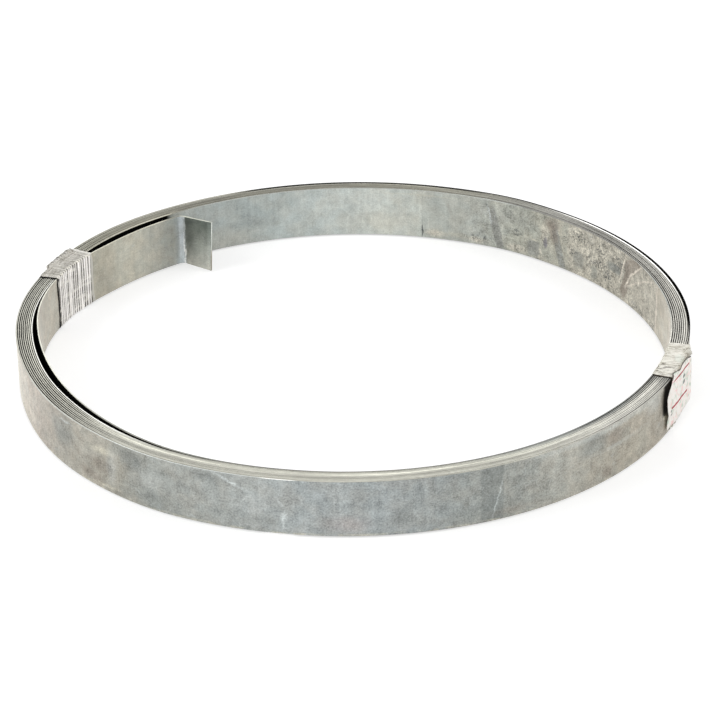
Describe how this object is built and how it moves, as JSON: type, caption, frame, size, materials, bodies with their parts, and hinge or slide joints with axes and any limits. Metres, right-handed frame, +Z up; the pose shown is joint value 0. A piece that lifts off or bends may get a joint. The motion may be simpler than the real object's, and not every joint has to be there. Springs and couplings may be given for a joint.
{
  "type": "steel strip coil",
  "caption": "Flat coil of galvanised steel strip with a bent inner end, held by two film ties and carrying a blank paper label.",
  "frame": {"origin": "centre of the coil's footprint on the floor it lies on", "axes": "+Z up along the coil's axis, +X towards the labelled tie, -Y towards the front"},
  "size_m": [0.362, 0.3621, 0.0318],
  "materials": {
    "galvanised_strip": "dull zinc, mottled and stained",
    "wrapping_film": "clear to milky film, ribbed by its windings",
    "label_paper": "white paper with two red rules"
  },
  "bodies": {
    "root": {"steel_strip": "galvanised_strip", "film_tie_left": "wrapping_film", "film_tie_right": "wrapping_film", "paper_label": "label_paper"}
  },
  "joints": []
}
